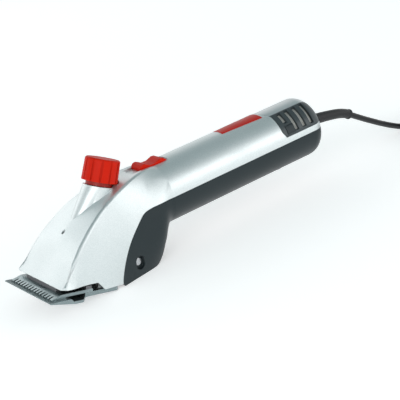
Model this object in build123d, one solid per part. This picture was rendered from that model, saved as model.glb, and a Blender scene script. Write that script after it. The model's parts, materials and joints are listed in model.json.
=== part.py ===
from build123d import *
import os
from math import cos, pi, radians, sin, tan

# Corded large-animal hair clipper. Millimetres.
# Working frame: X runs back along the handle's axis from the comb's tips, Z is up,
# and the handle's axis is at Z = 0. Every node is moved to the part's own frame on export.

# Driving dimensions
length = 302.5            # comb tips to the handle's rear end
handle_r = 26.7
wall = 2.5
axis_height = 50.0        # handle axis above the belly's flat underside
part_z = 1.0              # parting plane of the handle's two halves
rear_fillet = 13.0
ridge_round = 2.6

comb_width = 77.0
comb_tip_z = -30.0
comb_tilt = 14.0          # the comb's top face against the handle's axis
comb_teeth = 31
comb_pitch = 2.5
cutter_teeth = 15
cutter_pitch = 4.5
cutter_width = 68.0

knob_lean = 27.0          # the tension knob's axis leans back from the vertical
turret_top = (84.6, 0, 27.0)
turret_r = 13.0
knob_r = 14.8
knob_height = 18.6

pivot_s = 53.2            # fork pivot, measured along the comb from its tips
crank_throw = 1.8
crank_x = 89.0            # middle of the crank roller
roller_r = 4.0
slot_half = 8.3           # half the gap between the fork's two tail prongs
gear_module = 0.6
pinion_teeth = 14
wheel_teeth = 42
shaft_gap = 0.05          # radial running clearance of every shaft
spindle_z = -gear_module * (pinion_teeth + wheel_teeth) / 2

cover_x = 250.0           # front edge of the vent cover on top of the handle
cover_z = 6.0             # lower edge of the vent cover
slot_width = 4.2          # vent slots in the cover's flanks
seam = 0.15

cord_d = 5.4
boot_end = (352.0, 0, -10.6)
boot_hole_r = 5.0
floor_z = -axis_height

head_end = 135.0
end_half = 8.0            # half width of the front face where it runs out on the handle
knob_grooves = 12
knob_base = 3.6                      # underside of the knob's grip above the turret
side_screw = (89.5, -38.0)           # X and Z of the housing screws in the belly's flanks
under_screws = ((254.0, 9.0), (254.0, -9.0), (131.0, 0.0))   # X and Y, from below
switch_rest = 121.5                  # front end of the switch slide when off
switch_travel = 6.0
pocket_floor = 25.1
comb_screw_s = 55.0
comb_screw_y = 20.5
coil_at = (452.0, -38.1)             # the coil's axis in X and Y
coil_lift = 1.0                      # the tie's thickness, which the coil lies on
coil_columns = 4
coil_layers = 4
coil_middle_r = 30.0

comb_frame = Pos(0, 0, comb_tip_z) * Rot(0, comb_tilt, 0)
knob_frame = Pos(*turret_top) * Rot(0, knob_lean, 0)
part_frame = Pos(-length / 2, 0, axis_height)


# ---------------------------------------------------------------- small helpers
def slab(points, half):
    """A side outline in X and Z, extruded to both sides of the middle plane."""
    return extrude(Plane.XZ * make_face(Polyline(*points, close=True)), half, both=True)


def plan(points, z0, z1):
    """A plan outline in X and Y between two heights."""
    return Pos(0, 0, z0) * extrude(make_face(Polyline(*points, close=True)), z1 - z0)


def block(x0, x1, y0, y1, z0, z1):
    return Pos((x0 + x1) / 2, (y0 + y1) / 2, (z0 + z1) / 2) * Box(x1 - x0, y1 - y0, z1 - z0)


def rod(x0, x1, r, y=0.0, z=0.0):
    """A cylinder along the handle's axis."""
    return Pos((x0 + x1) / 2, y, z) * Rot(0, 90, 0) * Cylinder(r, x1 - x0)


def tube(x0, x1, r_out, r_in, y=0.0, z=0.0):
    return rod(x0, x1, r_out, y, z) - rod(x0 - 1, x1 + 1, r_in, y, z)


def post(x, y, z0, z1, r):
    """An upright cylinder."""
    return Pos(x, y, (z0 + z1) / 2) * Cylinder(r, z1 - z0)


def spin(h0, h1, r):
    """A cylinder about the knob's axis, by height above the turret."""
    return knob_frame * Pos(0, 0, (h0 + h1) / 2) * Cylinder(r, h1 - h0)


def both_sides(shape):
    return shape + mirror(shape, Plane.XZ)


def keep(shape):
    """One part from the solids that a boolean leaves."""
    return Part() + list(shape.solids())


def cut(body, *tools):
    """One part with each tool taken away in turn."""
    for tool in tools:
        body = keep(body - tool)
    return body


def group(shapes):
    """Separate solids kept in one node."""
    return Compound([solid for shape in shapes for solid in shape.solids()])


# ---------------------------------------------------------------- body form
# Cross-sections of the head, front to back: place, height and half width of the ridge that
# bounds the front face, that face's crown, then half width and height at the flank and foot.
HEAD_SECTIONS = (
    (12.5, -25.2, 39.5, 0.2, 39.6, -42.0, 39.5, -60.0),
    (30.0, -9.5, 34.4, 1.0, 35.6, -34.0, 35.6, -60.0),
    (50.0, 6.0, 29.6, 1.5, 32.2, -24.0, 32.4, -60.0),
    (72.0, 17.6, 24.2, 1.8, 30.4, -20.0, 26.5, -60.0),
    (95.0, 24.4, 18.4, 0.8, 28.2, -10.0, 21.0, -60.0),
    (115.0, 27.2, 12.6, -0.7, 27.4, -2.0, 15.0, -53.0),
    (125.0, 27.0, 10.8, -0.6, 27.0, -1.0, 11.5, -36.0),
)


def head_section(x, ridge_z, ridge_w, crown, side_w, side_z, foot_w, foot_z, inset):
    """One closed cross-section of the head: crowned top, two flanks and a flat foot."""
    drop = inset * (1.35 if x < 60 else 1.12)
    top = ridge_z - drop
    right = (x, ridge_w - inset, top)
    left = (x, inset - ridge_w, top)
    foot_r = (x, foot_w - inset, foot_z)
    foot_l = (x, inset - foot_w, foot_z)
    edges = [
        ThreePointArc(left, (x, 0, top + crown), right),
        ThreePointArc(right, (x, side_w - inset, side_z), foot_r),
        Line(foot_r, foot_l),
        ThreePointArc(foot_l, (x, inset - side_w, side_z), left),
    ]
    return Face(Wire(edges))


def head_end_section(inset):
    """The last section, which is the handle's own circle with a short flat foot."""
    x = head_end
    r = handle_r - inset
    half = end_half
    z = (r * r - half * half) ** 0.5
    edges = [
        ThreePointArc((x, -half, z), (x, 0, r), (x, half, z)),
        ThreePointArc((x, half, z), (x, r, 0), (x, half, -z)),
        ThreePointArc((x, half, -z), (x, 0, -r), (x, -half, -z)),
        ThreePointArc((x, -half, -z), (x, -r, 0), (x, -half, z)),
    ]
    return Face(Wire(edges))


def comb_z(x):
    """Height of the comb's top face at a distance behind its tips."""
    return comb_tip_z - x * tan(radians(comb_tilt))


def under_outline(inset):
    """Side outline that trims the head's underside: hood edge, comb seat, belly and rear curve."""
    floor = floor_z + inset
    hood = [(12.5, -25.2), (46.0, -34.5), (50.5, comb_z(50.5)), (69.0, comb_z(69.0))]
    if inset:
        hood = [(12.5, -60.0), (68.5 + inset, -60.0)]
    belly = [(70.5 + inset, floor), (105.0 - 0.5 * inset, floor)]
    curve = [
        (110.5 - 0.7 * inset, floor + 2.4),
        (116.0 - inset, floor + 10.0 - 0.2 * inset),
        (119.5 - inset, floor + 17.5 - 0.3 * inset),
        (125.0 - inset, floor + 22.0 - 0.1 * inset),
        (head_end + 1, floor + 23.1),
    ]
    lines = [
        Polyline((head_end + 1, 70.0), (12.5, 70.0), *hood, *belly),
        Spline(belly[-1], *curve, tangents=((1, 0), (1, 0.1))),
        Polyline(curve[-1], (head_end + 1, 70.0)),
    ]
    face = make_face([Plane.XZ * line for line in lines])
    return extrude(face, 60, both=True)


def body_form(inset):
    """The clipper's outer form, or its inside when inset by the wall."""
    sections = [head_section(*row, inset) for row in HEAD_SECTIONS]
    sections.append(head_end_section(inset))
    head = loft(sections)
    if not inset:
        ridge = [e for e in head.edges() if e.bounding_box().size.X > 50 and e.bounding_box().max.Z > 20]
        head = fillet(ridge, ridge_round)
        corner = [(12.0, 34.8), (12.0, 60), (22.0, 60), (17.0, 38.6)]
        head -= both_sides(plan(corner, -60, 0))
    head &= under_outline(inset)
    handle = rod(head_end, length - inset, handle_r - inset)
    handle = fillet(handle.edges().group_by(Axis.X)[-1], rear_fillet - inset)
    return head + handle


# ---------------------------------------------------------------- housing
def seam_side():
    """The silver half's side of the seam, which drops steeply behind the head."""
    curve = [(69.0, -46.5), (70.8, -40.0), (76.6, -28.5), (86.2, -15.8), (99.5, -3.8), (119.0, part_z)]
    lines = [
        Polyline(curve[-1], (320, part_z), (320, 70), (-10, 70), (-10, -70), (69.0, -70), curve[0]),
        Spline(*curve, tangents=((0.1, 1), (1, 0))),
    ]
    return extrude(make_face([Plane.XZ * line for line in lines]), 60, both=True)


def cover_region(gap):
    """What lies under the vent cover, from above its lower edge."""
    x = cover_x - gap
    low = cover_z - gap
    front = [(x, 40), (x, 26.9), (x + 2.2, 26.2), (x + 5.7, 24.0), (x + 5.8, 11.0), (x + 8.4, low)]
    return slab(front + [(320, low), (320, 40)], 60)


def turret():
    """Round boss under the tension knob, faired forward into the front face."""
    boss = spin(-34.0, 0.0, turret_r)
    tip = Location((55.0, 0, 3.2), (0, knob_lean, 0)) * Circle(5.5)
    ring = knob_frame * Pos(0, 0, -0.01) * Circle(turret_r - 0.01)
    return boss + loft([Face(ring.face().outer_wire()), Face(tip.face().outer_wire())])


def switch_pocket():
    """Shallow track on top of the handle, with the slot that the slide's stem runs in."""
    track = block(switch_rest - switch_travel - 2.5, 149.0, -7.4, 7.4, pocket_floor, 40)
    slot = block(125.0, 140.0, -2.2, 2.2, 15, 40)
    return track + slot


def knob_pocket():
    """Crescent recess that the back of the knob and its collar turn in."""
    return spin(knob_base - 0.5, 40.0, knob_r + 0.9) + spin(0, knob_base, 11.6)


def make_upper_housing(outer, inner):
    """Silver half: hood, turret and the handle's top, open under the head for the cutter."""
    hollow = keep(inner - block(86, 99.3, -16, 16, 20, 40))
    body = keep((outer + turret()) - hollow)
    body = keep(body & seam_side())
    openings = [cover_region(seam), spin(-60.0, 1.0, 10.8), switch_pocket(), knob_pocket()]
    openings += [post(44.0, 0, -10, 20, 1.8), rod(290, 320, boot_hole_r)]
    return cut(body, *openings)


def make_lower_housing(outer, inner):
    """Dark half: belly and the handle's underside, with its screw bosses and recesses."""
    x, z = side_screw
    bosses = both_sides(block(x - 6, x + 6, 15.0, 30.0, z - 8, z + 7))
    for sx, sy in under_screws:
        bosses += post(sx, sy, -28.0, -9.0, 4.2)
    body = keep(outer - keep(inner - bosses))
    sideways = Rot(90, 0, 0)
    pocket = extrude(SlotOverall(12.0, 8.4, rotation=90), 16.5)
    holes = [Pos(x, 40, z) * sideways * pocket]
    holes.append(Pos(x, 26, z) * sideways * Cylinder(3.1, 9.0))
    holes.append(Pos(x, 20, z) * sideways * Cylinder(1.6, 40))
    tools = [both_sides(hole) for hole in holes]
    for sx, sy in under_screws:
        tools += [post(sx, sy, -30.0, -22.5, 3.2), post(sx, sy, -30.0, 0.0, 1.6)]
    return cut(body, seam_side(), rod(290, 320, boot_hole_r), *tools)


def make_vent_cover(outer, inner):
    body = (outer - inner) & cover_region(0)
    half = slot_width / 2
    for x, z_low in ((263.5, 16.5), (271.5, 8.3), (280.0, 8.3), (288.5, 8.3)):
        body -= both_sides(block(x - half, x + half, 10.8, 30, z_low, 40))
    return body - latch_blank()


def latch_blank():
    """The two square release tabs in the cover's flanks."""
    tab = block(260.5, 269.5, 18, 30, 7.6, 15.0) - rod(250, 280, handle_r - 1.4)
    return both_sides(tab & rod(250, 280, handle_r + 0.5))


def make_cover_latches():
    tab = block(260.7, 269.3, 18, 30, 7.8, 14.8) - rod(250, 280, handle_r - 1.3)
    return both_sides(tab & rod(250, 280, handle_r + 0.4))


def make_air_filter():
    shell = tube(259.0, 290.0, handle_r - wall - 0.2, handle_r - wall - 1.2)
    return shell & block(250, 300, -30, 30, cover_z + 1.0, 30)


def make_label_plate():
    shell = tube(207.0, 249.4, handle_r + 0.3, handle_r)
    outline = [(207.0, -6.4), (249.2, -8.6), (249.2, 8.6), (207.0, 6.4)]
    return shell & plan(outline, 10, 40)


# ---------------------------------------------------------------- comb and cutter
def make_comb():
    """Wide steel comb: thin pointed teeth, a hollow behind them and a slotted heel."""
    half = comb_width / 2
    outline = [(0, -half), (29, -half), (35, -30.5), (64, -30.5), (66.5, -28), (66.5, 28)]
    outline += [(64, 30.5), (35, 30.5), (29, half), (0, half)]
    plate = plan(outline, -4.4, 0)
    side = [(0, 0), (18.5, 0), (20.5, -2.2), (31.5, -2.2), (35.5, 0), (66.5, 0), (66.5, -3.5)]
    side += [(37, -3.5), (32, -4.4), (22, -4.4), (0, -0.9)]
    plate &= slab(side, 60)
    gaps = range(comb_teeth - 1)
    first = -comb_pitch * (len(gaps) - 1) / 2
    for i in gaps:
        y = first + i * comb_pitch
        plate -= plan([(-1, y - 0.75), (-1, y + 0.75), (19, y + 0.45), (19, y - 0.45)], -5, 1)
    for y in (-comb_screw_y, comb_screw_y):
        plate -= block(comb_screw_s, 70, y - 2.6, y + 2.6, -6, 1)
        plate -= post(comb_screw_s, y, -6, 1, 2.6)
    return comb_frame * plate


def make_comb_screws():
    screws = []
    for y in (-comb_screw_y, comb_screw_y):
        screw = post(comb_screw_s, y, -5.6, -3.5, 4.6) + post(comb_screw_s, y, -3.6, 10.0, 2.5)
        screw -= block(comb_screw_s - 5, comb_screw_s + 5, y - 0.6, y + 0.6, -6, -4.7)
        screws.append(comb_frame * screw)
    return group(screws)


def make_cutter():
    """Cutter plate with its teeth, and a leg at each end that the fork holds."""
    half = cutter_width / 2
    side = [(3.6, 0.1), (16.2, 0.1), (16.2, 3.6), (12.0, 3.6), (3.6, 0.9)]
    plate = slab(side, half)
    first = -cutter_pitch * (cutter_teeth - 2) / 2
    for i in range(cutter_teeth - 1):
        y = first + i * cutter_pitch
        plate -= plan([(2, y - 1.2), (2, y + 1.2), (7.8, y + 0.8), (7.8, y - 0.8)], -1, 5)
    plate += both_sides(block(14.0, 40.0, 31.0, half, 1.2, 3.6))
    for y in (-14.0, 14.0):
        plate -= post(14.2, y, -1, 5, 1.5)
    return comb_frame * plate


# ---------------------------------------------------------------- cutter drive
def make_fork():
    """Oscillating fork: fingers on the cutter, a hub on the pivot and a forked tail."""
    arm = [(12.6, 16.0), (12.6, 24.0), (17.2, 24.0), (36.0, 13.0), (52.0, 7.5), (58.5, 5.0), (58.5, 0)]
    arm += [(48.0, 0), (33.0, 0), (24.0, 8.0), (17.2, 16.0)]
    plate = both_sides(plan(arm, 3.6, 6.4))
    plate += block(12.6, 17.2, -24, 24, 3.6, 6.0)
    plate += block(34.0, 39.0, -34.0, 34.0, 3.6, 6.2)
    plate += post(pivot_s, 0, 3.6, 10.2, 7.5)
    plate -= post(pivot_s, 0, 3.0, 6.8, 3.0 + shaft_gap)
    plate -= Pos(pivot_s + 0.2, 0, 11.27) * Sphere(3.3)
    for y in (-14.0, 14.0):
        plate -= post(14.2, y, 3, 8, 1.5)
    body = comb_frame * plate
    tail = [(57.0, -40.2), (70.0, -43.4), (80.0, -37.5), (88.0, -31.5), (92.0, -31.5), (92.0, -26.0)]
    tail += [(86.0, -26.0), (78.0, -31.5), (69.0, -38.0), (58.0, -36.6)]
    body += slab(tail, 4.0)
    body += block(86, 92, -slot_half - 3.2, slot_half + 3.2, -31.5, -26.0)
    return body + both_sides(block(86, 92, slot_half, slot_half + 3.2, -27.0, -8.0))


def make_fork_pins():
    pins = [comb_frame * post(14.2, y, 1.0, 7.0, 1.5) for y in (-14.0, 14.0)]
    return group(pins)


def make_centre_post():
    return comb_frame * post(pivot_s, 0, 0.0, 6.4, 3.0)


def make_head_casting():
    """Aluminium frame: comb seat, two cheeks, a bridge over the fork and the knob's tower."""
    seat = block(49.0, 68.5, -27.5, 27.5, 0, 3.2)
    cheeks = both_sides(block(49.0, 68.5, 24.5, 27.5, 0, 24.0))
    bridge = block(49.0, 66.0, -27.5, 27.5, 20.0, 24.0)
    body = comb_frame * (seat + cheeks + bridge)
    body += spin(-56.0, -6.0, 10.4)
    body -= spin(-70.0, -5.0, 7.5)
    body -= comb_frame * post(pivot_s, 0, -1, 4, 3.0)
    for y in (-comb_screw_y, comb_screw_y):
        body += comb_frame * post(comb_screw_s, y, 0, 11.0, 4.0)
        body -= comb_frame * post(comb_screw_s, y, -1, 10.2, 2.5)
    return body


def make_tension_sleeve():
    return spin(-42.0, -18.0, 7.4) - spin(-43.0, -17.0, 5.0 + shaft_gap)


def make_tension_spring():
    helix = Helix(pitch=3.3, height=11.0, radius=5.4)
    wire = sweep(Plane(helix @ 0, z_dir=helix % 0) * Circle(0.7), path=helix)
    return knob_frame * Pos(0, 0, -53.9) * wire


def make_tension_bolt():
    body = spin(-57.0, -55.0, 6.6) + spin(-66.2, -56.0, 2.6)
    return body + knob_frame * Pos(0, 0, -66.2) * Sphere(3.0)


def make_knob_spindle():
    return spin(-34.0, 4.0, 5.0) - spin(2.0, 5.0, 2.0)


def make_knob_collar():
    return spin(0.3, 3.6, 10.9) - spin(0, 4.0, 5.0)


def make_tension_knob():
    """Moulded grip with narrow upright grooves and a chamfered crown."""
    grip = Pos(0, 0, knob_base + knob_height / 2) * Cone(knob_r, knob_r - 0.5, knob_height)
    grip = chamfer(grip.edges().group_by(Axis.Z)[-1], 1.0)
    for i in range(knob_grooves):
        turn = Rot(0, 0, i * 360 / knob_grooves)
        grip -= turn * Pos(knob_r + 0.4, 0, knob_base + knob_height / 2) * Box(3.0, 1.5, knob_height + 1)
    return knob_frame * grip - spin(3.0, 4.0, 5.0)


def gear_profile(teeth, phase):
    """Outline of a spur gear with straight flanks and running backlash."""
    pitch_r = gear_module * teeth / 2
    rows = (
        (pitch_r - 0.62, 0.60),
        (pitch_r, 0.36),
        (pitch_r + 0.48, 0.19),
    )
    points = []
    for i in range(teeth):
        mid = phase + 360.0 * i / teeth
        for r, half in rows:
            a = radians(mid) - half / r
            points.append((r * cos(a), r * sin(a)))
        for r, half in reversed(rows):
            a = radians(mid) + half / r
            points.append((r * cos(a), r * sin(a)))
    return make_face(Polyline(*points, close=True))


def gear(teeth, phase, x0, x1, z, bore):
    """A gear about an axis along X; phase is measured from +Y towards +Z."""
    disc = extrude(gear_profile(teeth, phase), x1 - x0)
    plane = Plane(origin=(x0, 0, z), x_dir=(0, 1, 0), z_dir=(1, 0, 0))
    return plane * disc - rod(x0 - 1, x1 + 1, bore, 0, z)


def make_drive_gear():
    wheel = gear(wheel_teeth, 90.0, 108.5, 115.0, spindle_z, 3.0)
    return wheel - (tube(107, 110.5, 10.0, 5.5, 0, spindle_z) + tube(113, 116, 10.0, 5.5, 0, spindle_z))


def make_motor_pinion():
    return gear(pinion_teeth, 270.0 + 180.0 / pinion_teeth, 107.8, 115.8, 0.0, 2.5)


def make_crank_spindle():
    body = rod(94.4, 126.0, 3.0, 0, spindle_z) + rod(94.4, 97.6, 7.0, 0, spindle_z)
    return body + rod(84.6, 94.5, 2.0, 0, spindle_z + crank_throw)


def make_crank_roller():
    z = spindle_z + crank_throw
    half = 3.5
    return tube(crank_x - half, crank_x + half, roller_r, 2.0 + shaft_gap, 0, z)


def make_gear_bulkhead(inside):
    """Cast bulkhead ahead of the gears, with the spindle's front bearing seat."""
    body = inside & block(99.5, 103.5, -40, 40, -44, 40)
    body -= rod(90, 110, 6.0, 0, spindle_z)
    for y in (-14.0, 14.0):
        body -= rod(90, 110, 5.0, y, 2.0)
    return body


def make_motor_bulkhead(inside):
    """Cast bulkhead behind the gears: motor front bearing and spindle rear bearing."""
    body = inside & block(120.5, 125.0, -40, 40, -24, 40)
    body -= rod(110, 130, 6.0, 0, 0)
    body -= rod(110, 130, 5.4, 0, spindle_z)
    body += block(124.9, 137.0, -6, 6, -9.0, -6.5)
    for y in (-15.5, 15.5):
        body -= rod(110, 130, 4.5, y, 4.0)
    return body - post(131.0, 0, -15, 0, 1.6)


def make_spindle_bearings():
    front = tube(99.6, 103.4, 6.0, 3.0 + shaft_gap, 0, spindle_z)
    rear = tube(121.0, 124.8, 5.4, 3.0 + shaft_gap, 0, spindle_z)
    return group([front, rear])


def make_motor_bearings():
    front = tube(121.0, 124.8, 6.0, 2.5 + shaft_gap)
    rear = tube(228.2, 231.8, 6.0, 2.5 + shaft_gap)
    return group([front, rear])


# ---------------------------------------------------------------- motor
def make_motor_shaft():
    return rod(105.0, 233.0, 2.5)


def make_armature_core():
    core = tube(150.0, 190.0, 13.0, 2.5)
    for i in range(12):
        core -= Rot(i * 30, 0, 0) * block(149, 191, -0.8, 0.8, 9.0, 14.0)
    return core


def make_armature_winding():
    return group([tube(141.0, 150.0, 11.0, 2.5), tube(190.0, 199.0, 11.0, 2.5)])


def make_commutator():
    return tube(203.0, 215.0, 8.0, 2.5)


def make_cooling_fan():
    hub = tube(217.5, 226.0, 5.0, 2.5) + tube(217.5, 218.7, 20.5, 4.9)
    for i in range(9):
        hub += Rot(i * 40, 0, 0) * block(218.6, 225.0, -0.6, 0.6, 4.5, 20.0)
    return hub


def make_field_core():
    ring = tube(150.0, 190.0, handle_r - wall - 0.2, 19.0)
    poles = tube(150.0, 190.0, 19.5, 13.6) & both_sides(slab([(150, -9), (190, -9), (190, 9), (150, 9)], 30))
    return ring + poles


def make_field_coils():
    coil = tube(146.6, 193.4, 18.8, 14.2) & block(140, 200, -11, 11, 9.4, 30)
    return group([coil, mirror(coil, Plane.XY)])


def make_brush_holders():
    holder = block(205.5, 212.5, 9.0, 21.0, -4, 4) - block(206.9, 211.1, 8, 22, -2.6, 2.6)
    return group([holder, mirror(holder, Plane.XZ)])


def make_carbon_brushes():
    brush = block(207.0, 211.0, 8.1, 14.5, -2.5, 2.5)
    return group([brush, mirror(brush, Plane.XZ)])


def make_brush_springs():
    spring = Pos(209.0, 17.5, 0) * Rot(90, 0, 0) * (Cylinder(2.0, 6.0) - Cylinder(1.2, 7.0))
    return group([spring, mirror(spring, Plane.XZ)])


def make_rear_bracket():
    body = tube(228.0, 232.0, handle_r - wall - 0.2, 6.0)
    for i in range(6):
        body -= Rot(i * 60 + 30, 0, 0) * Pos(230, 0, 14.0) * Rot(0, 90, 0) * Cylinder(5.0, 10)
    arms = both_sides(block(203.0, 228.1, 21.0, 23.0, -4, 4))
    return body + arms


# ---------------------------------------------------------------- switch and electrics
def make_switch_slide():
    """Saddle-shaped slide, raised at both ends for the thumb, on a stem through the slot."""
    x = switch_rest
    low = pocket_floor + 0.2
    side = [(x, low), (x, 27.8), (x + 1.5, 29.7), (x + 4.5, 30.3), (x + 10, 27.3), (x + 15, 27.2)]
    side += [(x + 20, 28.9), (x + 23, 28.6), (x + 26, 26.2), (x + 26, low)]
    top = slab(side, 7.0) & rod(x - 1, x + 30, 34.0, 0, -3.2)
    return top + block(x + 11.5, x + 16.5, -1.8, 1.8, 20.0, low + 0.1)


def make_switch_link():
    return block(131.6, 143.0, -4.5, 4.5, 18.4, 20.0)


def make_switch_body():
    box = block(126.5, 140.0, -7.0, 7.0, 6.0, 16.0)
    return box + block(131.0, 136.0, -1.5, 1.5, 15.9, 18.0)


def make_component_tray():
    return block(246.0, 292.0, -15.0, 15.0, -9.0, -7.4) - both_sides(post(254, 9, -12, 0, 1.6))


def make_circuit_board():
    return block(262.0, 288.0, -13.0, 13.0, -7.4, -5.8)


def make_capacitor():
    return block(265.0, 276.0, -9.0, 9.0, -5.8, 6.5)


def make_suppressor_choke():
    return post(282.0, 0, -5.8, 2.0, 4.0)


def make_supply_leads():
    leads = []
    for y in (-1.6, 1.6):
        leads.append(rod(288.0, 297.0, 1.1, y, -4.7))
    return group(leads)


def make_housing_screws():
    x, z = side_screw
    side = Pos(x, 22.5, z) * Rot(90, 0, 0) * Cylinder(3.1, 2.0)
    side += Pos(x, 17.5, z) * Rot(90, 0, 0) * Cylinder(1.6, 9.0)
    screws = [side, mirror(side, Plane.XZ)]
    for sx, sy in under_screws:
        end = -6.6 if sy == 0 else -7.4
        screws.append(post(sx, sy, -24.4, -22.5, 3.0) + post(sx, sy, -22.6, end, 1.6))
    return group(screws)


# ---------------------------------------------------------------- cord


def make_strain_relief():
    """Rubber boot: a flange inside the end wall, a neck through it and a drooping sleeve."""
    flange = rod(length - wall - 2.6, length - wall, 7.0)
    neck = rod(length - wall - 0.1, length + 2.0, 5.0)
    start = (length, 0, 0)
    path = Spline(start, (length + 24, 0, -2.6), boot_end, tangents=((1, 0, 0), BOOT_DIR))
    sections = [Plane(origin=path @ 0, z_dir=path % 0) * Circle(5.0)]
    sections.append(Plane(origin=path @ 1, z_dir=path % 1) * Circle(4.2))
    return flange + neck + sweep(sections, path=path, multisection=True)


BOOT_DIR = (cos(radians(33)), 0, -sin(radians(33)))

# The lead leaves the boot, drops to the surface and runs back to a tied coil. After the coil's
# last turn it comes down the outside of the coil to the plug.
cord_z = floor_z + cord_d / 2
PLUG_Z = floor_z + 7.0

LEAD_ROUTE = (boot_end, (408.5, 0, cord_z), (448.0, 0, cord_z))
TAIL_R = coil_middle_r + cord_d * (coil_columns + 1) / 2
TAIL_STEP = TAIL_R * tan(radians(22.5))
TAIL_TOP_Z = floor_z + coil_lift + cord_d * (coil_layers - 0.5)
TAIL_ROUTE = (
    (coil_at[0] - TAIL_STEP, coil_at[1] + TAIL_R - 3.0, TAIL_TOP_Z),
    (coil_at[0] + TAIL_STEP, coil_at[1] + TAIL_R, TAIL_TOP_Z),
    (coil_at[0] + TAIL_R, coil_at[1] + TAIL_STEP, TAIL_TOP_Z - 3.0),
    (coil_at[0] + TAIL_R, coil_at[1] - TAIL_STEP, TAIL_TOP_Z - 8.0),
    (coil_at[0] + TAIL_STEP, coil_at[1] - TAIL_R, PLUG_Z),
    (coil_at[0] - TAIL_STEP, coil_at[1] - TAIL_R, PLUG_Z),
)


def route_radii(route):
    """A bend radius for each corner: 0.45 of the shorter run over the tangent of half the turn."""
    points = [Vector(*p) for p in route]
    radii = []
    for before, at, after in zip(points, points[1:], points[2:]):
        turn = (at - before).get_angle(after - at)
        shorter = min((at - before).length, (after - at).length)
        radii.append(0.45 * shorter / tan(radians(turn / 2)))
    return radii


def make_cord(name, route):
    radii = route_radii(route)
    path = FilletPolyline(*route, radius=radii)
    tube_solid = sweep(Plane(origin=path @ 0, z_dir=path % 0) * Circle(cord_d / 2), path=path)
    section = pi * cord_d ** 2 / 4
    print(name, "radii", [round(r, 1) for r in radii], "length", round(path.length, 1))
    print(name, "volume over section times length", round(tube_solid.volume / section / path.length, 4))
    return tube_solid


def coil_ring(grow):
    """The coil's outer shape, grown on every side."""
    x, y = coil_at
    half = cord_d * coil_columns / 2
    z0 = floor_z + coil_lift - grow
    z1 = floor_z + coil_lift + cord_d * coil_layers + grow
    ring = post(x, y, z0, z1, coil_middle_r + half + grow)
    return ring - post(x, y, z0 - 1, z1 + 1, coil_middle_r - half - grow)


def make_cord_tie():
    """Hook-and-loop strap round the coil, on the side that faces the clipper."""
    x, y = coil_at
    strap = coil_ring(coil_lift) - coil_ring(0)
    return strap & block(x - 80, x, y - 6, y + 6, -60, 0)


def make_plug_body():
    """Flat two-pin plug with a tapered tail that the lead enters."""
    x, y = TAIL_ROUTE[-1][0], TAIL_ROUTE[-1][1]
    outline = [(x, y - 5), (x - 8, y - 6), (x - 22, y - 17.5), (x - 35, y - 17.5)]
    outline += [(x - 35, y + 17.5), (x - 22, y + 17.5), (x - 8, y + 6), (x, y + 5)]
    body = plan(outline, floor_z, floor_z + 14.0)
    return body


def make_plug_pins():
    x, y = TAIL_ROUTE[-1][0] - 35.0, TAIL_ROUTE[-1][1]
    pins = []
    for side in (-9.5, 9.5):
        pins.append(rod(x - 19.0, x, 2.0, y + side, PLUG_Z))
    return group(pins)


# ---------------------------------------------------------------- all nodes
def all_nodes():
    outer = body_form(0)
    inner = body_form(wall)
    inside = body_form(wall + 0.3)
    return {
        "upper_housing": make_upper_housing(outer, inner),
        "lower_housing": make_lower_housing(outer, inner),
        "vent_cover": make_vent_cover(outer, inner),
        "cover_latches": make_cover_latches(),
        "air_filter": make_air_filter(),
        "label_plate": make_label_plate(),
        "comb": make_comb(),
        "comb_screws": make_comb_screws(),
        "cutter": make_cutter(),
        "fork": make_fork(),
        "fork_pins": make_fork_pins(),
        "centre_post": make_centre_post(),
        "head_casting": make_head_casting(),
        "tension_sleeve": make_tension_sleeve(),
        "tension_spring": make_tension_spring(),
        "tension_bolt": make_tension_bolt(),
        "knob_spindle": make_knob_spindle(),
        "knob_collar": make_knob_collar(),
        "tension_knob": make_tension_knob(),
        "drive_gear": make_drive_gear(),
        "motor_pinion": make_motor_pinion(),
        "crank_spindle": make_crank_spindle(),
        "crank_roller": make_crank_roller(),
        "gear_bulkhead": make_gear_bulkhead(inside),
        "motor_bulkhead": make_motor_bulkhead(inside),
        "spindle_bearings": make_spindle_bearings(),
        "motor_bearings": make_motor_bearings(),
        "motor_shaft": make_motor_shaft(),
        "armature_core": make_armature_core(),
        "armature_winding": make_armature_winding(),
        "commutator": make_commutator(),
        "cooling_fan": make_cooling_fan(),
        "field_core": make_field_core(),
        "field_coils": make_field_coils(),
        "brush_holders": make_brush_holders(),
        "carbon_brushes": make_carbon_brushes(),
        "brush_springs": make_brush_springs(),
        "rear_bracket": make_rear_bracket(),
        "switch_slide": make_switch_slide(),
        "switch_link": make_switch_link(),
        "switch_body": make_switch_body(),
        "component_tray": make_component_tray(),
        "circuit_board": make_circuit_board(),
        "capacitor": make_capacitor(),
        "suppressor_choke": make_suppressor_choke(),
        "supply_leads": make_supply_leads(),
        "housing_screws": make_housing_screws(),
        "strain_relief": make_strain_relief(),
        "mains_cord": make_cord("mains_cord", LEAD_ROUTE),
        "cord_coil": coil_ring(0),
        "cord_tail": make_cord("cord_tail", TAIL_ROUTE),
        "cord_tie": make_cord_tie(),
        "plug_body": make_plug_body(),
        "plug_pins": make_plug_pins(),
    }


os.makedirs("parts", exist_ok=True)
for node_name, node_shape in all_nodes().items():
    export_step(part_frame * node_shape, f"parts/{node_name}.step")
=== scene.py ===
import json
import math

import bpy
from mathutils import Matrix, Vector


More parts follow.
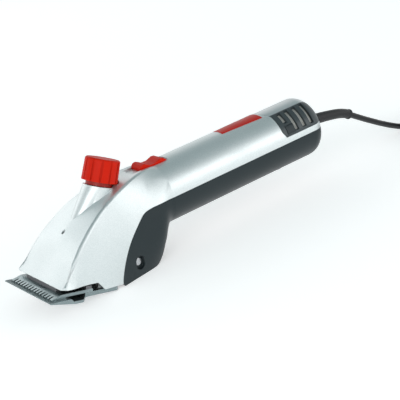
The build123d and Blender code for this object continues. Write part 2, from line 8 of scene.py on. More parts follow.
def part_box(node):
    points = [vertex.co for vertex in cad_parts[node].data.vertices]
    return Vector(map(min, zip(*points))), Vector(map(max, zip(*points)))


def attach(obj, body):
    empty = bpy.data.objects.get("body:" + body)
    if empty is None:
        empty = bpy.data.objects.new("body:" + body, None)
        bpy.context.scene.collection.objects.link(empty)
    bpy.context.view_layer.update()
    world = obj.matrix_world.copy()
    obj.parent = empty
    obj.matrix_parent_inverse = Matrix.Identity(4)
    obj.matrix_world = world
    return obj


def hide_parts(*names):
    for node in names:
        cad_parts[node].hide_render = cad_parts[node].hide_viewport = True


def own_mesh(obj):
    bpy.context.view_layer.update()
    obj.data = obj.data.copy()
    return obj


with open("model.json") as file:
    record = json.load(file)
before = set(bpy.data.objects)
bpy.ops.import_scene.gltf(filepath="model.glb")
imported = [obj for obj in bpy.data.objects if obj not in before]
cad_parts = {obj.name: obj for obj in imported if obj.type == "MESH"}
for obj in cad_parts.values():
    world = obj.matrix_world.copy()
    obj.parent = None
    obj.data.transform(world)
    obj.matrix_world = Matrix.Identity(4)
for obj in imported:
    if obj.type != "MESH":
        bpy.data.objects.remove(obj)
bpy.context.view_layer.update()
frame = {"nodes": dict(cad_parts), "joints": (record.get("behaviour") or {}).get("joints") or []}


# Silver half of the housing: injection-moulded nylon under a satin metallic lacquer with a
# very fine sparkle. It carries the knob's turret and the switch, and the dark half is screwed
# up into it.
def new_finish(name, colour, roughness, metallic=0.0, coat=0.0):
    """A material whose own shader holds what is the same all over the piece."""
    material = bpy.data.materials.new(name)
    material.use_nodes = True
    shader = material.node_tree.nodes["Principled BSDF"]
    shader.inputs["Base Color"].default_value = (*colour, 1)
    shader.inputs["Roughness"].default_value = roughness
    shader.inputs["Metallic"].default_value = metallic
    shader.inputs["Coat Weight"].default_value = coat
    shader.inputs["Coat Roughness"].default_value = 0.12
    shader.inputs["Specular IOR Level"].default_value = 0.35
    return material


def put_on(material, *names):
    """Gives the named parts this material in place of the plain one they come with."""
    for name in names:
        for place in frame["nodes"][name].material_slots:
            place.material = material


def new_group(name, inputs, outputs):
    """An empty node group with its named sockets, ready to be joined up."""
    tree = bpy.data.node_groups.new(name, "ShaderNodeTree")
    for label, kind, value in inputs:
        socket = tree.interface.new_socket(label, in_out="INPUT", socket_type=kind)
        socket.default_value = value
    for label, kind in outputs:
        tree.interface.new_socket(label, in_out="OUTPUT", socket_type=kind)
    return tree, tree.nodes.new("NodeGroupInput"), tree.nodes.new("NodeGroupOutput")


def grain_group():
    """Moulded or ground grain: two sizes of noise, stretched along the piece if asked."""
    tree, entry, leave = new_group(
        "surface grain",
        [
            ("Fine Scale", "NodeSocketFloat", 1500.0),
            ("Broad Scale", "NodeSocketFloat", 40.0),
            ("Stretch", "NodeSocketVector", (1, 1, 1)),
            ("Dark", "NodeSocketColor", (0.5, 0.5, 0.5, 1)),
            ("Light", "NodeSocketColor", (0.8, 0.8, 0.8, 1)),
            ("Rough Low", "NodeSocketFloat", 0.3),
            ("Rough High", "NodeSocketFloat", 0.4),
        ],
        [("Color", "NodeSocketColor"), ("Roughness", "NodeSocketFloat"), ("Height", "NodeSocketFloat")],
    )
    place = tree.nodes.new("ShaderNodeTexCoord")
    stretch = tree.nodes.new("ShaderNodeVectorMath")
    stretch.operation = "MULTIPLY"
    tree.links.new(place.outputs["Object"], stretch.inputs[0])
    tree.links.new(entry.outputs["Stretch"], stretch.inputs[1])
    fine = tree.nodes.new("ShaderNodeTexNoise")
    fine.inputs["Detail"].default_value = 3
    tree.links.new(stretch.outputs[0], fine.inputs["Vector"])
    tree.links.new(entry.outputs["Fine Scale"], fine.inputs["Scale"])
    broad = tree.nodes.new("ShaderNodeTexNoise")
    broad.inputs["Detail"].default_value = 4
    tree.links.new(place.outputs["Object"], broad.inputs["Vector"])
    tree.links.new(entry.outputs["Broad Scale"], broad.inputs["Scale"])
    tone = tree.nodes.new("ShaderNodeMix")
    tone.data_type = "RGBA"
    tree.links.new(fine.outputs["Fac"], tone.inputs["Factor"])
    tree.links.new(entry.outputs["Dark"], tone.inputs["A"])
    tree.links.new(entry.outputs["Light"], tone.inputs["B"])
    rough = tree.nodes.new("ShaderNodeMapRange")
    rough.inputs["From Min"].default_value = 0.35
    rough.inputs["From Max"].default_value = 0.65
    tree.links.new(broad.outputs["Fac"], rough.inputs["Value"])
    tree.links.new(entry.outputs["Rough Low"], rough.inputs["To Min"])
    tree.links.new(entry.outputs["Rough High"], rough.inputs["To Max"])
    tree.links.new(tone.outputs["Result"], leave.inputs["Color"])
    tree.links.new(rough.outputs["Result"], leave.inputs["Roughness"])
    tree.links.new(fine.outputs["Fac"], leave.inputs["Height"])
    return tree


def edge_group():
    """Rounded edges, and a mask that is light where an edge has been rubbed."""
    tree, entry, leave = new_group(
        "edge wear",
        [("Radius", "NodeSocketFloat", 0.0006), ("Amount", "NodeSocketFloat", 1.0)],
        [("Mask", "NodeSocketFloat"), ("Normal", "NodeSocketVector")],
    )
    soft = tree.nodes.new("ShaderNodeBevel")
    soft.samples = 6
    tree.links.new(entry.outputs["Radius"], soft.inputs["Radius"])
    face = tree.nodes.new("ShaderNodeNewGeometry")
    agree = tree.nodes.new("ShaderNodeVectorMath")
    agree.operation = "DOT_PRODUCT"
    tree.links.new(soft.outputs["Normal"], agree.inputs[0])
    tree.links.new(face.outputs["Normal"], agree.inputs[1])
    turned = tree.nodes.new("ShaderNodeMapRange")
    turned.inputs["From Min"].default_value = 0.96
    turned.inputs["From Max"].default_value = 0.75
    tree.links.new(agree.outputs["Value"], turned.inputs["Value"])
    tree.links.new(entry.outputs["Amount"], turned.inputs["To Max"])
    tree.links.new(turned.outputs["Result"], leave.inputs["Mask"])
    tree.links.new(soft.outputs["Normal"], leave.inputs["Normal"])
    return tree


def surface(material, dark, light, rough, fine=1500, broad=40, stretch=(1, 1, 1), bump=0.05,
            edge=0.0006, wear=0.0, worn=(0.8, 0.8, 0.8)):
    """Grain, edge rounding and edge wear, joined to the material's own shader."""
    tree = material.node_tree
    shader = tree.nodes["Principled BSDF"]
    grain = tree.nodes.new("ShaderNodeGroup")
    grain.node_tree = bpy.data.node_groups.get("surface grain") or grain_group()
    grain.inputs["Fine Scale"].default_value = fine
    grain.inputs["Broad Scale"].default_value = broad
    grain.inputs["Stretch"].default_value = stretch
    grain.inputs["Dark"].default_value = (*dark, 1)
    grain.inputs["Light"].default_value = (*light, 1)
    grain.inputs["Rough Low"].default_value = rough[0]
    grain.inputs["Rough High"].default_value = rough[1]
    rim = tree.nodes.new("ShaderNodeGroup")
    rim.node_tree = bpy.data.node_groups.get("edge wear") or edge_group()
    rim.inputs["Radius"].default_value = edge
    rim.inputs["Amount"].default_value = wear
    rubbed = tree.nodes.new("ShaderNodeMix")
    rubbed.data_type = "RGBA"
    rubbed.inputs["B"].default_value = (*worn, 1)
    tree.links.new(rim.outputs["Mask"], rubbed.inputs["Factor"])
    tree.links.new(grain.outputs["Color"], rubbed.inputs["A"])
    tree.links.new(rubbed.outputs["Result"], shader.inputs["Base Color"])
    tree.links.new(grain.outputs["Roughness"], shader.inputs["Roughness"])
    relief = tree.nodes.new("ShaderNodeBump")
    relief.inputs["Strength"].default_value = bump
    relief.inputs["Distance"].default_value = 0.0002
    tree.links.new(grain.outputs["Height"], relief.inputs["Height"])
    tree.links.new(rim.outputs["Normal"], relief.inputs["Normal"])
    tree.links.new(relief.outputs["Normal"], shader.inputs["Normal"])
    return material


silver_lacquer = surface(
    new_finish("silver lacquer", (0.74, 0.76, 0.77), 0.3, metallic=0.85),
    dark=(0.56, 0.62, 0.63), light=(0.88, 0.92, 0.92), rough=(0.40, 0.46),
    fine=1500, broad=30, bump=0.03, edge=0.0004, wear=0.0,
)
put_on(silver_lacquer, "upper_housing")

# Dark half of the housing: glass-filled nylon, moulded with a fine satin texture. It takes in
# the belly and the underside of the handle, with the screws in its recesses.
dark_nylon = surface(
    new_finish("dark satin nylon", (0.03, 0.04, 0.045), 0.42, coat=0.08),
    dark=(0.012, 0.019, 0.022), light=(0.026, 0.038, 0.042), rough=(0.34, 0.44),
    fine=3200, broad=24, bump=0.12, edge=0.0007, wear=0.35, worn=(0.09, 0.11, 0.12),
)
dark_nylon.node_tree.nodes["Principled BSDF"].inputs["Specular IOR Level"].default_value = 0.22
put_on(dark_nylon, "lower_housing")

# Vent cover: moulded in the dark nylon and clipped over the motor's air inlet. Its slotted flanks
# and latch tabs are dark, and the light silver band along its crown is a painted highlight.
def crown_highlight_mask(material, half_width):
    """Painted highlight: light where the piece lies within the crown's half width of the middle plane.
    """
    tree = material.node_tree
    place = tree.nodes.new("ShaderNodeTexCoord")
    split = tree.nodes.new("ShaderNodeSeparateXYZ")
    side = tree.nodes.new("ShaderNodeMath")
    side.operation = "ABSOLUTE"
    edge = tree.nodes.new("ShaderNodeMapRange")
    # Soft edge of the painted highlight band.
    highlight_edge_blur = 0.0004
    edge.inputs["From Min"].default_value = half_width + highlight_edge_blur
    edge.inputs["From Max"].default_value = half_width - highlight_edge_blur
    tree.links.new(place.outputs["Object"], split.inputs[0])
    tree.links.new(split.outputs["Y"], side.inputs[0])
    tree.links.new(side.outputs["Value"], edge.inputs["Value"])
    return edge.outputs["Result"]


cover_with_highlight = surface(
    new_finish("cover with painted highlight", (0.04, 0.05, 0.055), 0.38, coat=0.08),
    dark=(0.030, 0.041, 0.045), light=(0.055, 0.070, 0.076), rough=(0.3, 0.4),
    fine=2600, broad=24, bump=0.1, edge=0.0005, wear=0.3, worn=(0.10, 0.12, 0.13),
)
cover_tree = cover_with_highlight.node_tree
cover_shader = cover_tree.nodes["Principled BSDF"]
# The crown's painted highlight: a silver, partly metallic band this wide on each side of the middle
# plane.
crown_highlight_half_width = 0.0104
crown_highlight_colour = (0.60, 0.64, 0.65)
crown_highlight_metallic = 0.8
crown = crown_highlight_mask(cover_with_highlight, crown_highlight_half_width)
crown_highlight_tone = cover_tree.nodes.new("ShaderNodeMix")
crown_highlight_tone.data_type = "RGBA"
crown_highlight_tone.inputs["B"].default_value = (*crown_highlight_colour, 1)
cover_tree.links.new(crown, crown_highlight_tone.inputs["Factor"])
cover_tree.links.new(cover_shader.inputs["Base Color"].links[0].from_socket, crown_highlight_tone.inputs["A"])
cover_tree.links.new(crown_highlight_tone.outputs["Result"], cover_shader.inputs["Base Color"])
crown_highlight_metal = cover_tree.nodes.new("ShaderNodeMath")
crown_highlight_metal.operation = "MULTIPLY"
crown_highlight_metal.inputs[1].default_value = crown_highlight_metallic
cover_tree.links.new(crown, crown_highlight_metal.inputs[0])
cover_tree.links.new(crown_highlight_metal.outputs["Value"], cover_shader.inputs["Metallic"])
put_on(cover_with_highlight, "vent_cover")
put_on(dark_nylon, "cover_latches")

# Label on top of the handle: a slim plate of red film under clear lacquer, with nothing on it.
red_film = surface(
    new_finish("red film", (0.5, 0.012, 0.004), 0.36),
    dark=(0.46, 0.010, 0.003), light=(0.54, 0.014, 0.004), rough=(0.32, 0.4),
    fine=900, broad=60, bump=0.01, edge=0.0002, wear=0.2, worn=(0.8, 0.12, 0.08),
)
red_film.node_tree.nodes["Principled BSDF"].inputs["Specular IOR Level"].default_value = 0.15
put_on(red_film, "label_plate")

# Comb and cutter: hardened tool steel, ground flat along the teeth and lapped together. The
# comb is screwed to the head, and the cutter rides on it under the fork.
ground_steel = surface(
    new_finish("ground steel", (0.5, 0.54, 0.55), 0.25, metallic=1.0),
    dark=(0.17, 0.22, 0.23), light=(0.36, 0.42, 0.43), rough=(0.24, 0.38),
    fine=1400, broad=120, stretch=(0.04, 1, 0.04), bump=0.1, edge=0.0002, wear=0.5,
    worn=(0.6, 0.64, 0.64),
)
put_on(ground_steel, "comb", "cutter")

# Screws, posts, pins, shafts and bearings: bright steel, turned on a lathe and left polished.
# The screws hold the two halves together and the comb to the head.
turned_steel = surface(
    new_finish("turned steel", (0.55, 0.56, 0.58), 0.25, metallic=1.0),
    dark=(0.42, 0.43, 0.45), light=(0.62, 0.63, 0.65), rough=(0.18, 0.3),
    fine=900, broad=200, stretch=(1, 0.1, 0.1), bump=0.06, edge=0.0002, wear=0.3,
)
put_on(
    turned_steel, "comb_screws", "housing_screws", "fork_pins", "centre_post", "tension_sleeve",
    "tension_bolt", "knob_spindle", "motor_pinion", "crank_spindle", "motor_shaft",
    "crank_roller", "spindle_bearings", "motor_bearings",
)

# Tension knob: red moulded plastic, gripped by its grooves. It turns the spindle that loads
# the cutter, on a darker collar that covers the gap over the turret.
knob_red = surface(
    new_finish("moulded red", (0.62, 0.012, 0.0005), 0.5),
    dark=(0.52, 0.009, 0.0004), light=(0.66, 0.014, 0.0006), rough=(0.44, 0.54),
    fine=2200, broad=50, bump=0.05, edge=0.0006, wear=0.25, worn=(0.85, 0.08, 0.04),
)
knob_red.node_tree.nodes["Principled BSDF"].inputs["Specular IOR Level"].default_value = 0.12
put_on(knob_red, "tension_knob", "switch_slide")
collar_red = surface(
    new_finish("dark red collar", (0.3, 0.01, 0.004), 0.4),
    dark=(0.26, 0.008, 0.003), light=(0.36, 0.012, 0.004), rough=(0.36, 0.46),
    fine=2200, broad=50, bump=0.05, edge=0.0003,
)
put_on(collar_red, "knob_collar")

# Head frame and gear wall: die-cast aluminium, left as cast. They are held between the two
# halves, and carry the comb, the fork's pivot and the front bearing.
cast_aluminium = surface(
    new_finish("cast aluminium", (0.6, 0.61, 0.62), 0.5, metallic=1.0),
    dark=(0.48, 0.49, 0.50), light=(0.68, 0.69, 0.70), rough=(0.42, 0.6),
    fine=1100, broad=60, bump=0.25, edge=0.0006, wear=0.2,
)
put_on(cast_aluminium, "head_casting", "gear_bulkhead")

# Fork: forged steel, blackened in oil. It rocks on the centre post, with its tail round the
# crank and its fingers on the cutter.
forged_steel = surface(
    new_finish("blackened forging", (0.16, 0.16, 0.17), 0.45, metallic=0.9),
    dark=(0.11, 0.11, 0.12), light=(0.22, 0.22, 0.23), rough=(0.38, 0.52),
    fine=1300, broad=70, bump=0.2, edge=0.0005, wear=0.5, worn=(0.5, 0.5, 0.5),
)
put_on(forged_steel, "fork")

# Motor: stacked sheet-steel cores with enamelled copper windings, pressed on the shaft beside a
# turned copper commutator. Carbon brushes slide in brass boxes at its sides.
sheet_steel = surface(
    new_finish("stacked sheet steel", (0.27, 0.28, 0.30), 0.45, metallic=0.9),
    dark=(0.14, 0.15, 0.16), light=(0.38, 0.39, 0.41), rough=(0.36, 0.5),
    fine=1600, broad=80, stretch=(1, 0.02, 0.02), bump=0.3, edge=0.0002,
)
put_on(sheet_steel, "armature_core", "field_core")
copper_wire = surface(
    new_finish("enamelled copper", (0.55, 0.2, 0.07), 0.3, metallic=0.7, coat=0.4),
    dark=(0.34, 0.11, 0.04), light=(0.66, 0.27, 0.10), rough=(0.24, 0.34),
    fine=1500, broad=60, stretch=(0.05, 1, 1), bump=0.4, edge=0.0004,
)
put_on(copper_wire, "armature_winding", "field_coils", "suppressor_choke")
copper_bar = surface(
    new_finish("turned copper", (0.72, 0.38, 0.22), 0.28, metallic=1.0),
    dark=(0.58, 0.29, 0.16), light=(0.78, 0.44, 0.27), rough=(0.2, 0.34),
    fine=1200, broad=90, stretch=(1, 0.1, 0.1), bump=0.1, edge=0.0002,
)
put_on(copper_bar, "commutator")
stamped_brass = surface(
    new_finish("stamped brass", (0.72, 0.52, 0.2), 0.32, metallic=1.0),
    dark=(0.6, 0.42, 0.15), light=(0.8, 0.6, 0.26), rough=(0.24, 0.4),
    fine=900, broad=90, bump=0.06, edge=0.0003,
)
put_on(stamped_brass, "brush_holders")
pressed_carbon = surface(
    new_finish("pressed carbon", (0.03, 0.03, 0.032), 0.5),
    dark=(0.02, 0.02, 0.021), light=(0.05, 0.05, 0.052), rough=(0.4, 0.6),
    fine=2400, broad=90, bump=0.2, edge=0.0002,
)
put_on(pressed_carbon, "carbon_brushes")

# Springs: drawn steel wire, oiled. The brush springs are wound close. The tension spring is an
# open coil between the sleeve and the bolt's flange, and shortens as the sleeve comes down.
spring_wire = surface(
    new_finish("drawn wire", (0.32, 0.33, 0.35), 0.3, metallic=1.0),
    dark=(0.24, 0.25, 0.27), light=(0.42, 0.43, 0.45), rough=(0.22, 0.36),
    fine=1500, broad=200, bump=0.05, edge=0.0001,
)
put_on(spring_wire, "tension_spring", "brush_springs")

knob_turn = next(joint for joint in frame["joints"] if joint["name"] == "tension_turn")
screw_line = Vector(knob_turn["axis"]).normalized()
wire_r = 0.0007
spring_r = 0.0054
spring_height = 0.011
spring_turns = 10 / 3
depth_below_turret = 0.0539
spring_foot = Vector(knob_turn["pos_m"]) - screw_line * depth_below_turret
bpy.ops.object.select_all(action="DESELECT")
bpy.ops.mesh.primitive_circle_add(vertices=10, radius=wire_r, rotation=(math.pi / 2, 0, 0))
coiled_spring = bpy.context.object
coiled_spring.name = "coiled_spring"
bpy.ops.object.transform_apply(location=True, rotation=True, scale=True)
bpy.ops.object.mode_set(mode="EDIT")
bpy.ops.transform.translate(value=(spring_r, 0, 0))
bpy.ops.object.mode_set(mode="OBJECT")
wind = coiled_spring.modifiers.new("wind", "SCREW")
wind.angle = 2 * math.pi * spring_turns
wind.screw_offset = spring_height
wind.steps = wind.render_steps = 100
bpy.ops.object.modifier_apply(modifier="wind")
bpy.ops.object.mode_set(mode="EDIT")
bpy.ops.mesh.select_all(action="SELECT")
bpy.ops.mesh.fill_holes(sides=0)
bpy.ops.mesh.select_all(action="SELECT")
bpy.ops.mesh.normals_make_consistent(inside=False)
bpy.ops.object.mode_set(mode="OBJECT")
coiled_spring.location = spring_foot
coiled_spring.rotation_euler = screw_line.to_track_quat("Z", "Y").to_euler()
bpy.ops.object.transform_apply(location=True, rotation=True, scale=True)
bpy.ops.object.shade_smooth_by_angle(angle=math.radians(50))
coiled_spring.data.materials.clear()
coiled_spring.data.materials.append(spring_wire)
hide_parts("tension_spring")
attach(coiled_spring, "clipper_body")
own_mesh(coiled_spring)

# Drive gear: cut from resin-bonded cloth laminate, which runs quietly against the steel pinion.
# It is keyed to the crank spindle.
laminate = surface(
    new_finish("cloth laminate", (0.62, 0.5, 0.3), 0.5),
    dark=(0.5, 0.38, 0.2), light=(0.7, 0.58, 0.38), rough=(0.42, 0.56),
    fine=1800, broad=120, stretch=(1, 1, 0.3), bump=0.2, edge=0.0002,
)
put_on(laminate, "drive_gear")

# Inner mouldings: black plastic walls, fan, tray, switch and brackets. They are screwed or
# slotted into the handle's halves.
inner_black = surface(
    new_finish("inner black moulding", (0.05, 0.05, 0.055), 0.5),
    dark=(0.035, 0.035, 0.04), light=(0.07, 0.07, 0.075), rough=(0.42, 0.56),
    fine=1600, broad=60, bump=0.1, edge=0.0004,
)
put_on(
    inner_black, "motor_bulkhead", "cooling_fan", "rear_bracket", "switch_link", "switch_body",
    "component_tray", "supply_leads",
)

# Circuit board with its film capacitor, which quietens the motor's interference. The woven wire
# filter beside it is laid under the vent cover.
board_green = surface(
    new_finish("coated board", (0.03, 0.12, 0.04), 0.35, coat=0.3),
    dark=(0.02, 0.09, 0.03), light=(0.05, 0.16, 0.06), rough=(0.28, 0.4),
    fine=1200, broad=150, bump=0.05, edge=0.0002,
)
put_on(board_green, "circuit_board")
capacitor_yellow = surface(
    new_finish("yellow casing", (0.7, 0.46, 0.04), 0.35),
    dark=(0.62, 0.4, 0.03), light=(0.76, 0.52, 0.06), rough=(0.28, 0.4),
    fine=1500, broad=90, bump=0.05, edge=0.0005,
)
put_on(capacitor_yellow, "capacitor")
filter_mesh = surface(
    new_finish("woven filter", (0.3, 0.31, 0.29), 0.6),
    dark=(0.22, 0.22, 0.20), light=(0.78, 0.78, 0.73), rough=(0.5, 0.7),
    fine=1100, broad=200, bump=0.9, edge=0.0004,
)
put_on(filter_mesh, "air_filter")

# Boot where the lead leaves the handle: soft black rubber, moulded over the cord, with a
# rolled lip at its mouth that keeps dirt off the cord.
boot_rubber = surface(
    new_finish("boot rubber", (0.02, 0.021, 0.023), 0.5),
    dark=(0.014, 0.015, 0.016), light=(0.03, 0.031, 0.034), rough=(0.4, 0.52),
    fine=2200, broad=80, bump=0.12, edge=0.0006,
)
put_on(boot_rubber, "strain_relief")

boot_mouth = (0.20075, 0, 0.0394)
droop = math.radians(33)
boot_aim = Vector((math.cos(droop), 0, -math.sin(droop)))
lip_r = 0.0047
lip_depth = 0.0024
lip_width = 0.0018
bpy.ops.object.select_all(action="DESELECT")
bpy.ops.mesh.primitive_cylinder_add(
    vertices=48, radius=lip_r, depth=lip_depth, location=Vector(boot_mouth) - boot_aim * 0.0010,
    rotation=boot_aim.to_track_quat("Z", "Y").to_euler(),
)
boot_lip = bpy.context.object
boot_lip.name = "boot_lip"
bpy.ops.object.transform_apply(location=True, rotation=True, scale=True)


def select_faces(piece, test):
    """Leaves only the faces that pass the test selected, in edit mode."""
    bpy.ops.object.mode_set(mode="EDIT")
    bpy.ops.mesh.select_all(action="DESELECT")
    bpy.ops.mesh.select_mode(type="FACE")
    bpy.ops.object.mode_set(mode="OBJECT")
    for face in piece.data.polygons:
        face.select = test(face)
    bpy.ops.object.mode_set(mode="EDIT")


def round_edges(piece, width, segments):
    """Rounds every sharp edge of the active piece."""
    bevel = piece.modifiers.new("round edges", "BEVEL")
    bevel.width = width
    bevel.segments = segments
    bevel.limit_method = "ANGLE"
    bpy.ops.object.modifier_apply(modifier="round edges")


select_faces(boot_lip, lambda face: abs(face.normal.dot(boot_aim)) > 0.9)
bpy.ops.mesh.inset(thickness=lip_width)
bpy.ops.mesh.delete(type="FACE")
bpy.ops.mesh.select_mode(type="EDGE")
bpy.ops.mesh.select_non_manifold()
bpy.ops.mesh.bridge_edge_loops()
bpy.ops.mesh.select_all(action="SELECT")
bpy.ops.mesh.normals_make_consistent(inside=False)
bpy.ops.object.mode_set(mode="OBJECT")
round_edges(boot_lip, 0.0007, 4)
bpy.ops.object.shade_smooth_by_angle(angle=math.radians(40))
boot_lip.data.materials.append(boot_rubber)
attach(boot_lip, "clipper_body")

# Mains lead: a round black rubber-sheathed cord. It droops from the boot to the surface, then
# is wound into a tied coil of fourteen turns, four high and four across, and ends in its plug.
cord_across = 0.0054
coil_turns = 14
turns_in_layer = 3.5
turns_to_next_layer = 0.5
points_in_turn = 16


def lead_points():
    """The lead's route: down to the surface, round the coil layer by layer, then to the plug."""
    points = [boot_mouth, (0.25725, 0, 0.0027), (0.282, 0, 0.0029)]
    middle = Vector((0.30075, -0.0381, 0.0037))
    outer, inner = 0.0381, 0.0219
    flat_turns = turns_in_layer - turns_to_next_layer
    spline_inside = 0.985
    for step in range(coil_turns * points_in_turn):
        turn = step / points_in_turn
        layer = int(turn // turns_in_layer)
        along = turn - turns_in_layer * layer
        share = min(along / flat_turns, 1)
        inward = layer % 2 == 0
        r = outer - (outer - inner) * share if inward else inner + (outer - inner) * share
        rise = max(along - flat_turns, 0) / turns_to_next_layer if layer < 3 else 0
        angle = 2 * math.pi * turn
        wide = r / spline_inside
        z = middle.z + cord_across * (layer + rise)
        points.append((middle.x + wide * math.sin(angle), middle.y + wide * math.cos(angle), z))
    top = middle.z + 3 * cord_across
    points += [
        (middle.x + 0.018, middle.y + 0.0425, top),
        (middle.x + 0.0435, middle.y + 0.018, top - 0.003),
        (middle.x + 0.0435, middle.y - 0.018, top - 0.008),
        (middle.x + 0.018, middle.y - 0.0435, 0.007),
        (middle.x - 0.01802, middle.y - 0.0435, 0.007),
    ]
    return points


cord_curve = bpy.data.curves.new("mains_lead", "CURVE")
cord_curve.dimensions = "3D"
spline = cord_curve.splines.new("NURBS")
route = lead_points()
spline.points.add(len(route) - 1)
for point, at in zip(spline.points, route):
    point.co = (*at, 1)
spline.order_u = 3
spline.use_endpoint_u = True
spline.resolution_u = 6
cord_curve.bevel_depth = cord_across / 2
cord_curve.bevel_resolution = 5
mains_lead = bpy.data.objects.new("mains_lead", cord_curve)
bpy.context.scene.collection.objects.link(mains_lead)
cord_rubber = surface(
    new_finish("cord sheath", (0.02, 0.021, 0.023), 0.42),
    dark=(0.014, 0.015, 0.016), light=(0.028, 0.029, 0.032), rough=(0.34, 0.46),
    fine=2600, broad=120, bump=0.08, edge=0.0001,
)
cord_curve.materials.append(cord_rubber)
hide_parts("mains_cord", "cord_coil", "cord_tail")
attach(mains_lead, "clipper_body")

# Tie round the coil: a woven hook-and-loop strap, wrapped once round all the turns. Its free
# end is pressed down over the top.
woven_tie = surface(
    new_finish("woven tie", (0.03, 0.03, 0.033), 0.85),
    dark=(0.012, 0.012, 0.014), light=(0.06, 0.06, 0.065), rough=(0.8, 0.92),
    fine=1400, broad=150, stretch=(1, 0.3, 1), bump=0.7, edge=0.0003,
)


def add_block(name, centre, size):
    """A block to start a piece from, with its place and size kept in its mesh."""
    bpy.ops.object.select_all(action="DESELECT")
    bpy.ops.mesh.primitive_cube_add(size=1, location=centre)
    piece = bpy.context.object
    piece.name = name
    piece.scale = size
    bpy.ops.object.transform_apply(location=True, rotation=True, scale=True)
    return piece


low, high = (Vector(corner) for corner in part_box("cord_tie"))
strap_middle = (low + high) / 2
strap_size = high - low
strap_thickness = 0.0009
coil_strap = add_block("coil_strap", strap_middle, strap_size)
select_faces(coil_strap, lambda face: abs(face.normal.y) > 0.9)
bpy.ops.mesh.delete(type="FACE")
bpy.ops.object.mode_set(mode="OBJECT")
round_edges(coil_strap, 0.0034, 6)
web = coil_strap.modifiers.new("web", "SOLIDIFY")
web.thickness = strap_thickness
web.offset = -1
bpy.ops.object.modifier_apply(modifier="web")
free_end = add_block(
    "free_end", (strap_middle.x + 0.002, strap_middle.y, high.z),
    (0.013, strap_size.y * 0.94, strap_thickness * 2),
)
round_edges(free_end, 0.0006, 3)
coil_strap.select_set(True)
bpy.context.view_layer.objects.active = coil_strap
bpy.ops.object.join()
bpy.ops.object.shade_smooth_by_angle(angle=math.radians(35))
coil_strap.data.materials.clear()
coil_strap.data.materials.append(woven_tie)
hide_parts("cord_tie")
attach(coil_strap, "clipper_body")

# Plug: a flat two-pin plug moulded on to the cord, with rounded edges, a waisted tail and
# nickel-plated pins.
low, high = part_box("plug_body")
length = high[0] - low[0]
pin_height = 0.007
wide_share = 0.4
plug = add_block(
    "moulded_plug", (low[0] + length * wide_share / 2, (low[1] + high[1]) / 2, pin_height),
    (length * wide_share, high[1] - low[1], high[2] - low[2]),
)

select_faces(plug, lambda face: face.normal.x > 0.9)
for reach, width, height in ((0.33, 0.36, 0.82), (0.27, 0.9, 0.86)):
    bpy.ops.mesh.extrude_region_move(TRANSFORM_OT_translate={"value": (length * reach, 0, 0)})
    bpy.ops.transform.resize(value=(1, width, height))
bpy.ops.object.mode_set(mode="OBJECT")
round_edges(plug, 0.0026, 4)
bpy.ops.object.shade_smooth_by_angle(angle=math.radians(40))
plug_black = surface(
    new_finish("moulded plug black", (0.02, 0.021, 0.023), 0.4),
    dark=(0.015, 0.016, 0.018), light=(0.03, 0.031, 0.034), rough=(0.34, 0.46),
    fine=2200, broad=80, bump=0.1, edge=0.0004,
)
plug.data.materials.append(plug_black)
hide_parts("plug_body")
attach(plug, "clipper_body")
plated_pin = surface(
    new_finish("nickel plate", (0.66, 0.63, 0.57), 0.2, metallic=1.0),
    dark=(0.6, 0.57, 0.52), light=(0.72, 0.70, 0.65), rough=(0.14, 0.24),
    fine=900, broad=200, bump=0.02, edge=0.0004,
)
put_on(plated_pin, "plug_pins")

# Studio: a pale sheet to stand on, and soft light from three sides. The sky is white near the
# horizon and darker overhead, which gives the lacquer its bands. The camera stands ahead of the
# clipper and a little above it.
bpy.ops.object.select_all(action="DESELECT")
bpy.ops.mesh.primitive_plane_add(size=60, location=(0, 0, 0))
studio_floor = bpy.context.object
studio_floor.name = "studio_floor"
pale = new_finish("pale sheet", (0.9, 0.9, 0.9), 0.9)
sheet_shader = pale.node_tree.nodes["Principled BSDF"]
sheet_shader.inputs["Specular IOR Level"].default_value = 0
sheet_shader.inputs["Emission Color"].default_value = (1, 1, 1, 1)
sheet_shader.inputs["Emission Strength"].default_value = 0.42
studio_floor.data.materials.append(pale)

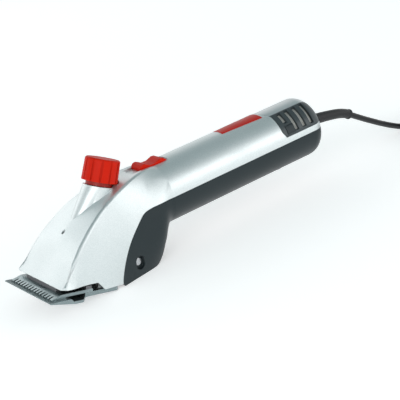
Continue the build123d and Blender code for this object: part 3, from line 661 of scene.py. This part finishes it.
sky = bpy.data.worlds.new("soft studio")
bpy.context.scene.world = sky
sky.use_nodes = True
air = sky.node_tree
aim = air.nodes.new("ShaderNodeTexCoord")
split = air.nodes.new("ShaderNodeSeparateXYZ")
bands = air.nodes.new("ShaderNodeValToRGB")
bands.color_ramp.elements[0].position = 0.0
bands.color_ramp.elements[0].color = (1.0, 1.0, 1.0, 1)
bands.color_ramp.elements[1].position = 1.0
bands.color_ramp.elements[1].color = (0.20, 0.28, 0.29, 1)
for at, tone in ((0.48, (1, 1, 1, 1)), (0.64, (0.26, 0.34, 0.35, 1))):
    mark = bands.color_ramp.elements.new(at)
    mark.color = tone
air.links.new(aim.outputs["Generated"], split.inputs[0])
air.links.new(split.outputs["Z"], bands.inputs["Fac"])
plain = air.nodes.new("ShaderNodeMix")
plain.data_type = "RGBA"
plain.inputs["B"].default_value = (1, 1, 1, 1)
seen = air.nodes.new("ShaderNodeLightPath")
air.links.new(seen.outputs["Is Camera Ray"], plain.inputs["Factor"])
air.links.new(bands.outputs["Color"], plain.inputs["A"])
air.links.new(plain.outputs["Result"], air.nodes["Background"].inputs["Color"])
air.nodes["Background"].inputs["Strength"].default_value = 1.0


def soft_box(name, at, aim_at, size, power):
    """A rectangular lamp turned towards a point."""
    lamp = bpy.data.lights.new(name, "AREA")
    lamp.shape = "RECTANGLE"
    lamp.size, lamp.size_y = size
    lamp.energy = power
    holder = bpy.data.objects.new(name, lamp)
    bpy.context.scene.collection.objects.link(holder)
    holder.location = at
    holder.rotation_euler = (Vector(aim_at) - Vector(at)).to_track_quat("-Z", "Y").to_euler()


soft_box("key", (-1.2, -0.9, 0.8), (0, 0, 0.05), (0.9, 0.7), 6)
soft_box("fill", (0.9, -1.3, 0.6), (0, 0, 0.05), (1.0, 0.6), 3)
soft_box("back", (-0.3, 1.2, 0.8), (0, 0, 0.05), (1.6, 0.9), 3)

lens = bpy.data.cameras.new("camera")
lens.sensor_width = 36
lens.lens = 107.2
lens.shift_x = 0.0625
lens.shift_y = 0.0052
lens.clip_start = 0.05
camera = bpy.data.objects.new("camera", lens)
bpy.context.scene.collection.objects.link(camera)
camera_place = (-0.47295, -0.8056, 0.3934)
right = Vector((0.7962, -0.5638, -0.2195)).normalized()
back = Vector((-0.4717, -0.8056, 0.3584)).normalized()
up = back.cross(right)
turned = Matrix((right, up, back)).transposed().to_4x4()
camera.matrix_world = Matrix.Translation(camera_place) @ turned
bpy.context.scene.camera = camera
bpy.context.scene.view_settings.view_transform = "Standard"
